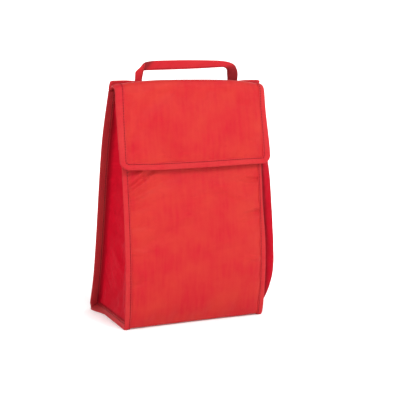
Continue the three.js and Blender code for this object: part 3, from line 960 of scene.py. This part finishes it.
# ---- Foil lining ----
def lining(name, place, rows, cols, node_name, flat, seed):
    """A crinkled film panel: place(u, v) gives its points for u and v from 0 to 1."""
    u, v = unit_grid(rows, cols)
    points = place(u, v)
    width, length = flat
    normal = unit(np.cross(np.gradient(points, axis=1), np.gradient(points, axis=0)))
    sharp = np.abs(waves(u * width, v * length, 0.030, seed))
    sharp = sharp + 0.6 * np.abs(waves(u * width, v * length, 0.014, seed + 1))
    fade = smooth(np.minimum.reduce([u, 1 - u, v, 1 - v]) * min(width, length) / 0.008)
    points = points + normal * ((sharp - 0.7) * 0.9 * MM * fade)[..., None]
    uv = np.stack([u * width, v * length], -1).reshape(-1, 2)
    obj = make(name, points.reshape(-1, 3), grid_faces(rows, cols), uv)
    dress(obj, FOIL)
    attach(obj, "bag")
    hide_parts(node_name)
    return obj


LINING_X = GUSSET_X - 4.6 * MM
CRINKLE = 1.01


def wall_lining(line, sign, top):
    """Where the film lies inside the front (sign -1) or back (1) wall, whose outer face is y = line(z)."""

    def place(u, v):
        z = 4 * MM + (top - 4 * MM) * v
        depth = (5.2 - 1.2 * smooth((z - FLAP_LOW) / 0.02)) * MM
        return np.stack([LINING_X * (2 * u - 1), line(z) - sign * depth, z], -1)

    return place


def gusset_lining(side):
    """Where the film lies inside a gusset: its own points, moved in and drawn in a little at the seams."""
    grid = body_coarse[gusset_index[side]]

    def place(u, v):
        rows, cols = grid.shape[:2]
        i, j = (1 - v) * (rows - 4), 1 + u * (cols - 3)
        i0, j0 = np.clip(i.astype(int), 0, rows - 2), np.clip(j.astype(int), 0, cols - 2)
        a, b = (i - i0)[..., None], (j - j0)[..., None]
        left = grid[i0, j0] * (1 - a) + grid[i0 + 1, j0] * a
        right = grid[i0, j0 + 1] * (1 - a) + grid[i0 + 1, j0 + 1] * a
        p = left * (1 - b) + right * b
        middle = (grid[i0, 1] + grid[i0, -2]) / 2
        p = p + np.array([-side * 5.0 * MM, 0, 0])
        p[..., 1] = middle[..., 1] + (p[..., 1] - middle[..., 1]) * 0.86
        return p

    return place


def base_lining(u, v):
    """Where the film lies on the base, lifted where the taped seams stand."""
    y0, y1 = front_y(4 * MM) + 5 * MM, back_y(4 * MM) - 5 * MM
    x = LINING_X * (2 * u - 1)
    lift = smooth((np.abs(x) - LINING_X + 0.014) / 0.014) * 6 * MM
    return np.stack([x, y0 + (y1 - y0) * v, 4 * MM + lift], -1)


def flat_size(place):
    """Flat (width, length) and area of the film that place(u, v) lays out, with what its crinkles take up."""
    p = place(*unit_grid(60, 60))
    across = np.linalg.norm(np.diff(p, axis=1), axis=2).sum(1)
    down = np.linalg.norm(np.diff(p, axis=0), axis=2).sum(0)
    flat = (round(float(across.max()) * CRINKLE, 4), round(float(down.max()) * CRINKLE, 4))
    return flat, float(across.mean() * down.mean()) * CRINKLE


for name, place, cad, seed in (
    ("lining_front", wall_lining(front_y, -1, MOUTH - 1 * MM), "foil_front", 41),
    ("lining_back", wall_lining(back_y, 1, BACK_TOP - 5 * MM), "foil_back", 43),
    ("lining_base", base_lining, "foil_base", 45),
    ("lining_gusset_left", gusset_lining(-1), "foil_gusset_left", 47),
    ("lining_gusset_right", gusset_lining(1), "foil_gusset_right", 49),
):
    flat, area = flat_size(place)
    lining(name, place, 72, 44, cad, flat, seed)


# ---- Flap: a padded sheet from the ridge, over the front fold, down the front ----
HANG_SLOPE = math.tan(math.radians(9))


def hang(z):
    """Where the flap's middle hangs at height z."""
    return FOLD_Y - (FOLD_Z - z) * HANG_SLOPE


# The middle of its thickness over the fold, at its ends and halfway, as (y, z).
END_LINE = [(-0.0350, 0.2966), (-0.0390, 0.2984), (-0.0440, 0.2980), (-0.0488, 0.2956), (-0.0513, 0.2905)]
MID_LINE = [(-0.0350, 0.2982), (-0.0388, 0.3004), (-0.0434, 0.3030), (-0.0484, 0.3041)]
MID_LINE += [(-0.0520, 0.3016), (-0.0536, 0.2960)]
TAPE_INSET = 0.6 * MM
FLAP_BOTTOM = FLAP_LOW + TAPE_INSET
low_end = [(hang(z), z) for z in (0.284, 0.262, 0.240, 0.220, FLAP_BOTTOM)]
bows = ((0.286, 2.2), (0.262, 1.6), (0.240, 1.1), (0.220, 0.8), (FLAP_BOTTOM, 0.4))
low_mid = [(hang(z) - bow * MM, z) for z, bow in bows]
FLAP_ROWS = 44
end_curve, mid_curve = curve(END_LINE + low_end, FLAP_ROWS), curve(MID_LINE + low_mid, FLAP_ROWS)
FLAP_LENGTH = float(lengths(mid_curve)[-1])
CORNER, BRIDGE = 12 * MM, 7 * MM
COVER, FILM, BRIDGE_COVER, BRIDGE_FILM = range(4)


def flap_place(x, s):
    """Middle of the flap's thickness at x and s, with its outward normal. s goes from 0 at the ridge
    to 1 at the lower edge."""
    w = 1 - np.clip(np.abs(x) / FLAP_X, 0, 1) ** 3.2
    t = np.clip(s, 0, 1) * (FLAP_ROWS - 1)
    k = np.arange(FLAP_ROWS)

    def point(t):
        return between(t, k, end_curve) * (1 - w[..., None]) + between(t, k, mid_curve) * w[..., None]

    here = point(t)
    run = unit(point(np.minimum(t + 0.7, FLAP_ROWS - 1)) - point(np.maximum(t - 0.7, 0)))
    # The lower left corner stands off the front a little, and the lower edge is not quite straight.
    off = smooth((s - 0.45) / 0.55) * (1.6 * smooth((-x - 0.03) / 0.06) + 0.5 * np.sin(x * 48 + 0.7)) * MM
    hollows = 2.2 * np.exp(-(((x + 0.045) / 0.045) ** 2)) + 1.2 * np.exp(-(((x - 0.02) / 0.04) ** 2))
    sag = smooth((s - 0.3) / 0.7) * hollows * MM
    normal = np.stack([0 * x, run[..., 1], -run[..., 0]], -1)
    skew = 3.0 * MM * smooth((s - 0.3) / 0.6) * smooth((x - 0.03) / 0.07)
    middle = np.stack([x + skew, here[..., 0] - off, here[..., 1] - sag], -1)
    return middle, normal


def flap_half(s):
    """Half the flap's width, rounded at its lower corners."""
    down = np.clip(s * FLAP_LENGTH - (FLAP_LENGTH - CORNER), 0, CORNER)
    return FLAP_X - TAPE_INSET - (CORNER - np.sqrt(np.maximum(CORNER**2 - down**2, 0)))


def thickness(inboard, s):
    """Half the flap's thickness, that far in from its edge: thin under the tape, full in the middle."""
    full = 1.25 + 0.35 * smooth(inboard / 0.008) + 0.65 * smooth((inboard - 0.007) / 0.012)
    return full * MM * (0.62 + 0.38 * smooth(s * FLAP_LENGTH / 0.012))


def build_flap():
    """The flap as one closed mesh, outer side and film side, with how firmly each point is held."""
    s = np.concatenate([np.linspace(0, 0.93, 36), 1 - np.geomspace(0.055, 0.004, 6), [1]])
    u = np.linspace(-1, 1, 50)
    s2, u2 = np.meshgrid(s, u, indexing="ij")
    half = flap_half(s2)
    half[-1] = half[-2] - 1 * MM
    x = u2 * half
    middle, normal = flap_place(x, s2)
    inboard = np.minimum(half - np.abs(x), (1 - s2) * FLAP_LENGTH)
    h = thickness(inboard, s2)[..., None]
    outer, inner = middle + normal * h, middle - normal * h
    rows, cols = s2.shape
    ring = np.concatenate([outer, inner[:, ::-1]], 1)
    verts = ring.reshape(-1, 3)
    m = 2 * cols
    faces, panel = [list(f) for f in grid_faces(rows, m, closed_cols=True)], []
    # The film is inside, so its cells come after the cover's.
    for t in s[:-1]:
        labels = (BRIDGE_COVER, BRIDGE_FILM) if t * FLAP_LENGTH < BRIDGE else (COVER, FILM)
        panel += [labels[0]] * cols + [labels[1]] * cols
    for i in (0, rows - 1):
        for j in range(cols - 1):
            a, b = i * m + j, i * m + j + 1
            c, d = i * m + (m - 2 - j), i * m + (m - 1 - j)
            faces.append([a, b, c, d] if i else [d, c, b, a])
            panel.append(BRIDGE_COVER if i == 0 else COVER)
    down = np.repeat((s * FLAP_LENGTH)[:, None], m, 1)
    uv = np.stack([np.concatenate([x, x[:, ::-1]], 1), down], -1).reshape(-1, 2)
    obj = make("flap", verts, faces, uv)
    label_faces(obj, panel)
    hold = np.where((inboard < 8.5 * MM) | (s2 * FLAP_LENGTH < 24 * MM), 1.0, 0.0)
    return obj, np.concatenate([hold, hold[:, ::-1]], 1).ravel(), (rows, cols)


# Where the cloth bends: the two bodies, and the points between which one's movement is meant to give way to the
# other's. Nothing here blends them: stitches given one are only left unattached.
RIDGE_BEND = ("bag", "flap_bridge", (0, -0.0364, 0.2995), (0, -0.0412, 0.3005))
FOLD_BEND = ("flap_bridge", "flap", (0, -0.0450, 0.3010), (0, -0.0525, 0.2905))

flap, held, (flap_rows, flap_cols) = build_flap()
outward(flap)
start, moved = relax(flap, held, pressure=1.2, grow=0.014, frames=14)
is_inner = np.tile(np.arange(2 * flap_cols) >= flap_cols, flap_rows)
flap_now = start + capped(moved, np.where(is_inner, 0.0007, 0.0026))
dents = waves(start[:, 0], start[:, 2], 0.055, 61) * 0.45 * MM
dents += soft_ridges(start[:, 0] * 0.9, start[:, 2] - 0.052 - FLAP_LOW, CREASES) * 0.5
flap_now[:, 1] -= np.where((held < 0.5) & ~is_inner, dents, 0)
set_co(flap, flap_now)
subdivide(flap)
flap_names = {COVER: "flap_cover", FILM: "flap_lining"}
flap_parts = split_panels(flap, flap_names | {BRIDGE_COVER: "bridge_cover", BRIDGE_FILM: "bridge_lining"})
for name, piece in flap_parts.items():
    is_film = name.endswith("lining")
    dress(piece, FOIL if is_film else CLOTH)
    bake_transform(piece)
    cad = name.split("_")[0]
    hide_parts(*([f"{cad}_foil"] if is_film else [f"{cad}_cloth", f"{cad}_foam"]))


def flap_edge(s0, count):
    """Stations along the flap's taped edge, from one side's s0 round to the other side's: x, length down
    the flap, and the way inboard."""
    run, straight = FLAP_LENGTH, FLAP_LENGTH - CORNER
    left = [(-FLAP_X, t * run, 1, 0) for t in np.linspace(s0, straight / run, count)]
    arc = [
        (-FLAP_X + CORNER - CORNER * math.cos(a), straight + CORNER * math.sin(a), math.cos(a), -math.sin(a))
        for a in np.linspace(0, math.pi / 2, 13)[1:]
    ]
    bottom = [(x, run, 0, -1) for x in np.linspace(-FLAP_X + CORNER, FLAP_X - CORNER, 60)[1:-1]]
    half = left + arc
    mirrored = [(-x, t, -dx, dt) for x, t, dx, dt in half[::-1]]
    return np.array(half + bottom + mirrored)


def edge_tape(name, stations, cad, seed):
    """The binding folded over the flap's edge at those stations. Returns its stitch lines."""
    x, t, dx, dt = stations.T
    wobble = waves(np.arange(len(x)) * 3 * MM, x * 0, 0.016, seed) * 0.14 * MM
    ragged = waves(np.arange(len(x)) * 3 * MM, x * 0, 0.030, seed + 3) * 0.25 * MM

    # The tape's width is uneven: wider over the fold on the left, and low down on the right.
    share = np.clip(t / FLAP_LENGTH, 0, 1)
    wide = np.where(dx > 0.5, 1.42 - 0.38 * share, np.where(dx < -0.5, 1.0 + 0.38 * share, 1.12))
    wide = softened(wide, 6)

    def at(a, lift, sign):
        inboard = a * MM * wide + (ragged if a > 7 else 0)
        s = (t + dt * inboard) / FLAP_LENGTH
        middle, normal = flap_place(x + dx * inboard, s)
        h = thickness(np.full_like(x, max(a, 0) * MM), np.clip(s, 0, 1)) + lift * MM
        if lift > 0.5:
            h = h + wobble
        return middle + normal * (sign * h)[:, None], normal * sign

    # How far inboard, and how thick, in mm. The stitches lie in the groove at 6.5.
    outer = [(8.2, 0.05), (8.0, 0.55), (7.3, 0.72), (6.5, 0.32)]
    outer += [(5.6, 0.75), (3.0, 0.85), (1.0, 0.6), (0.15, 0.1)]
    section = [at(a, lift, 1)[0] for a, lift in outer]
    section.append(at(-0.25, -1.1, 1)[0])
    section += [at(a, lift, -1)[0] for a, lift in outer[::-1]]
    tape = sweep(name, section)
    dress(tape, TAPE)
    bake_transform(tape)
    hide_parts(*cad)
    return [at(6.5, 0.55, 1), at(6.5, 0.55, -1)]


flap_thread = edge_tape("flap_tape_edge", flap_edge(BRIDGE / FLAP_LENGTH, 40), ["flap_tape"], 71)
stitches("flap_stitches", flap_thread, "flap", blend=FOLD_BEND)
bridge_thread = []
for word, side, seed in (("left", -1, 73), ("right", 1, 75)):
    stations = np.array([(side * FLAP_X, t, -side, 0) for t in np.linspace(0, BRIDGE, 6)])
    name = f"bridge_tape_edge_{word}"
    bridge_thread += edge_tape(name, stations, [f"bridge_tape_{word}"], seed)
stitches("bridge_stitches", bridge_thread, "flap_bridge", blend=RIDGE_BEND)


# ---- Closure tapes ----
def closure(name, surface, cad, body):
    """A flat strip of fuzzy tape with soft edges, on the points and normals that surface(x, z) gives."""
    low, high = corners(cad)
    cols, rows = 76, 12
    # The stitches lie in a groove this far in from the rim.
    inset = 2.2 * MM
    u, v = unit_grid(rows, cols)
    x = low[0] + (high[0] - low[0]) * u
    z = low[2] + (high[2] - low[2]) * v
    points, normals = surface(x, z)
    rim = np.minimum.reduce([x - low[0], high[0] - x, z - low[2], high[2] - z])
    height = (0.15 + 0.85 * smooth(rim / (0.9 * MM))) * MM
    height = height - 0.25 * MM * np.exp(-(((rim - inset) / (0.6 * MM)) ** 2))
    top = points + normals * height[..., None]
    under = points - normals * 0.25 * MM
    n = rows * cols
    faces = [list(f) for f in grid_faces(rows, cols)]
    faces += [list(f)[::-1] for f in grid_faces(rows, cols, offset=n)]
    loop = list(range(cols)) + [i * cols + cols - 1 for i in range(1, rows)]
    loop += [(rows - 1) * cols + j for j in range(cols - 2, -1, -1)]
    loop += [i * cols for i in range(rows - 2, 0, -1)]
    faces += [[a, a + n, b + n, b] for a, b in zip(loop, loop[1:] + loop[:1])]
    uv = np.tile(np.stack([x, z], -1).reshape(-1, 2), (2, 1))
    obj = outward(make(name, np.vstack([top.reshape(-1, 3), under.reshape(-1, 3)]), faces, uv))
    dress(obj, PILE)
    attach(obj, body)
    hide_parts(cad)
    x0, x1, z0, z1 = low[0] + inset, high[0] - inset, low[2] + inset, high[2] - inset
    ring = along([(x0, z0), (x1, z0), (x1, z1), (x0, z1), (x0, z0)], 240)
    points, normals = surface(ring[:, 0], ring[:, 1])
    stitches(f"{name}_stitches", [(points + normals * 0.85 * MM, normals)], body)


front_tree = BVHTree.FromObject(panels["panel_front"], bpy.context.evaluated_depsgraph_get())


def on_front(x, z):
    """Points on the front panel at x and z, with the way that the panel looks."""
    flat_x, flat_z = x.ravel(), z.ravel()
    points = []
    for a, b in zip(flat_x, flat_z):
        hit = front_tree.ray_cast(Vector((a, -0.2, b)), Vector((0, 1, 0)))[0]
        points.append(tuple(hit) if hit else (a, front_y(b), b))
    points = np.array(points).reshape(*x.shape, 3)
    slope = (front_y(z + 1 * MM) - front_y(z - 1 * MM)) / (2 * MM)
    return points, unit(np.stack([0 * x, -1 + 0 * x, slope], -1))


def on_flap(x, z):
    """Points on the inside of the hanging flap at x and z, with the way that it looks."""
    shares = np.linspace(0.2, 1, 200)
    heights = flap_place(np.zeros(200), shares)[0][:, 2]
    s = np.interp(-z, -heights, shares)
    middle, normal = flap_place(x, s)
    h = thickness(np.full_like(x, 0.03), s) + 0.35 * MM
    return middle - normal * h[..., None], -normal


closure("closure_loop", on_front, "loop_tape", "bag")
closure("closure_hook", on_flap, "hook_tape", "flap")


# ---- Handle: one flat strap, folded at one corner and turned at the other ----
strap_low, strap_high = corners("handle_strap")
STRAP_Y = (strap_low[1] + strap_high[1]) / 2
HALF = strap_high[0]
WIDTH = corners("handle_tab_right")[1][0] - corners("handle_tab_right")[0][0]
TAB_LOW = corners("handle_tab_right")[0][2]
STRAP_BEND = ("bag", "handle", (0, STRAP_Y, 0.2885), (0, STRAP_Y, 0.2985))


def strap(name, edge_a, edge_b, facing, cad, seed, thick=1.7 * MM, painted_shade=None):
    """A flat strap between two edge lines, with soft rolled edges; facing is the way its front looks."""
    a, b = np.asarray(edge_a), np.asarray(edge_b)
    across = unit(b - a)
    facing = unit(facing - across * (facing * across).sum(1, keepdims=True))
    s = np.arange(len(a)) * 2 * MM
    wave = (waves(s, s * 0, 0.030, seed) * 0.22 * MM)[:, None]
    span = np.linalg.norm(b - a, axis=1, keepdims=True)
    # Share of the way across, and of the full thickness. The stitches lie in the groove.
    groove = 0.155
    shape = [(0.0, 0.0), (0.03, 0.75), (0.10, 1.0), (groove, 0.70), (0.21, 1.02)]
    shape += [(0.5, 0.92), (0.79, 1.02), (0.90, 1.0), (0.97, 0.75)]

    def at(t, w, sign):
        return a + across * span * t + facing * (sign * thick / 2 * w + wave * (0 < t < 1))

    section = [at(t, w, 1) for t, w in shape] + [b] + [at(t, w, -1) for t, w in shape[:0:-1]]
    obj = sweep(name, section)
    # Painted shade: the given shade is stored in the seam layer, set low where the strap is painted darker.
    shade = np.zeros(len(a)) if painted_shade is None else painted_shade
    painted_shade_layer(obj, 0.011 - 0.010 * np.repeat(shade, len(section)))
    obj = subdivide(obj)
    dress(obj, STRAP)
    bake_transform(obj)
    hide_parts(*cad)
    line = a + across * span * groove
    lift = facing * (thick / 2 * 0.7 + 0.28 * MM)
    return [(line + lift, facing), (line - lift, -facing)]


back_tree = BVHTree.FromObject(panels["panel_back"], bpy.context.evaluated_depsgraph_get())


def leg_y(x, z):
    """The strap lies on the back panel below, and stands straight up above it."""
    on_panel = []
    for a, b in zip(x, np.minimum(z, 0.290)):
        hit = back_tree.ray_cast(Vector((a, 0.2, b)), Vector((0, -1, 0)))[0]
        on_panel.append(hit.y if hit else back_y(b))
    w = smooth((z - 0.284) / 0.013)
    return (np.array(on_panel) + 1.0 * MM) * (1 - w) + STRAP_Y * w


def three(x, y, z):
    """Rows of x, y and z, each a number or an array."""
    return np.stack(np.broadcast_arrays(x, y, z), 1)


def edge_curve(points, count):
    """A strap's edge as it hangs, through (x, z) in mm: on the back panel below the ridge and free above."""
    line = curve(np.array(points) * MM, count)
    return three(line[:, 0], leg_y(line[:, 0], line[:, 1]), line[:, 1])


# The strap hangs a little to the right of its CAD place.
LEAN, FOOT = 3.2, TAB_LOW / MM
LEFT_X, RIGHT_X = LEAN - HALF / MM, LEAN + HALF / MM
# Its left leg is in front of the grip, its top cut by the fold.
left_out = edge_curve([(LEFT_X, FOOT), (LEFT_X + 0.4, 292), (-65.6, 304), (-65.1, 315.4)], 40)
left_in = edge_curve([(LEFT_X + 10.6, FOOT), (-56.2, 292), (-55.7, 306), (-53.4, 318), (-51.9, 326.8)], 40)
for line in (left_in, left_out):
    line[:, 1] -= 0.95 * MM * smooth((line[:, 2] - 0.302) / 0.02)
slope = three(0, -1, np.gradient(left_in[:, 1], left_in[:, 2]))
strap_thread = strap("handle_leg_left", left_in, left_out, unit(slope), ["handle_tab_left"], 81)

# Grip, round the turned right corner and down the right leg.
edge_out = edge_curve(
    [(-53.5, 326.2), (-48, 328.0), (-33, 329.3), (8, 330.1), (43, 329.8), (56, 329.0), (65, 327.2),
     (71.6, 323.4), (74.1, 315), (73.6, 304), (RIGHT_X, 292), (RIGHT_X, FOOT)], 96)
edge_in = edge_curve(
    [(-63.5, 314.2), (-54, 316.4), (-38, 317.1), (-18, 317.7), (22, 319.2), (45, 320.5), (54.5, 320.8),
     (58.8, 319.2), (60.9, 315.6), (62.1, 304), (RIGHT_X - 10.8, 292), (RIGHT_X - 10.8, FOOT)], 96)
for line in (edge_in, edge_out):
    line[:, 1] += 0.85 * MM * smooth((-line[:, 0] - 0.030) / 0.02) * (line[:, 2] > 0.31)
inner_x = HALF - WIDTH
# The leg is twisted between the corner and the ridge, so its face looks a little to the left.
height = (edge_in[:, 2] + edge_out[:, 2]) / 2
twist = 3.4 * MM * smooth((0.324 - height) / 0.012) * smooth((height - 0.294) / 0.012)
twist = np.where(edge_out[:, 0] > inner_x - 6 * MM, twist, 0)
edge_in[:, 1] += twist
edge_out[:, 1] -= twist
middle = (edge_in + edge_out) / 2
run = unit(np.gradient(middle, axis=0))
facing = unit(np.cross(run, edge_out - edge_in))
facing *= -np.sign(facing[:, 1:2])
# It is darkest where it turns into the corner and stands in its own shade.
painted_shade = 0.75 * smooth((middle[:, 0] - 0.058) / 0.010) * smooth((middle[:, 2] - 0.285) / 0.012)
# Painted shade also darkens the grip's left end, where it passes behind the left leg.
painted_shade = np.maximum(painted_shade, 0.7 * smooth((-0.0475 - edge_in[:, 0]) / 0.006))
grip_nodes = ["handle_strap", "handle_tab_right"]
strap_thread += strap("handle_grip", edge_in, edge_out, facing, grip_nodes, 83, painted_shade=painted_shade)
stitches(
    "handle_edge_stitches", strap_thread, "handle",
    every=2.8 * MM, length=1.9 * MM, radius=0.28 * MM, blend=STRAP_BEND,
)

# Boxes of stitching that hold the strap's feet to the back panel.
boxes = []
for side, word in ((-1, "left"), (1, "right")):
    low_corner, high_corner = corners(f"handle_stitch_{word}")
    ends = (left_in[0, 0], left_out[0, 0]) if side < 0 else (edge_in[-1, 0], edge_out[-1, 0])
    centre, reach = sum(ends) / 2, abs(ends[1] - ends[0]) / 2 - 1.9 * MM
    x0, x1, z0, z1 = centre - reach, centre + reach, low_corner[2] + 1 * MM, high_corner[2] - 1 * MM
    outline = [(x0, z0), (x1, z0), (x1, z1), (x0, z1), (x0, z0)]
    for path in (outline, [(x0, z0), (x1, z1)], [(x1, z0), (x0, z1)]):
        path = along(path, 60)
        y = leg_y(path[:, 0], path[:, 1]) + 1.05 * MM
        boxes.append((three(path[:, 0], y, path[:, 1]), np.tile([0, 1.0, 0.35], (60, 1))))
boxed = stitches("handle_box_stitches", boxes, "bag", every=2.6 * MM, length=1.9 * MM)
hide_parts("handle_stitch_left", "handle_stitch_right")

camera()
lights()
paper_floor()
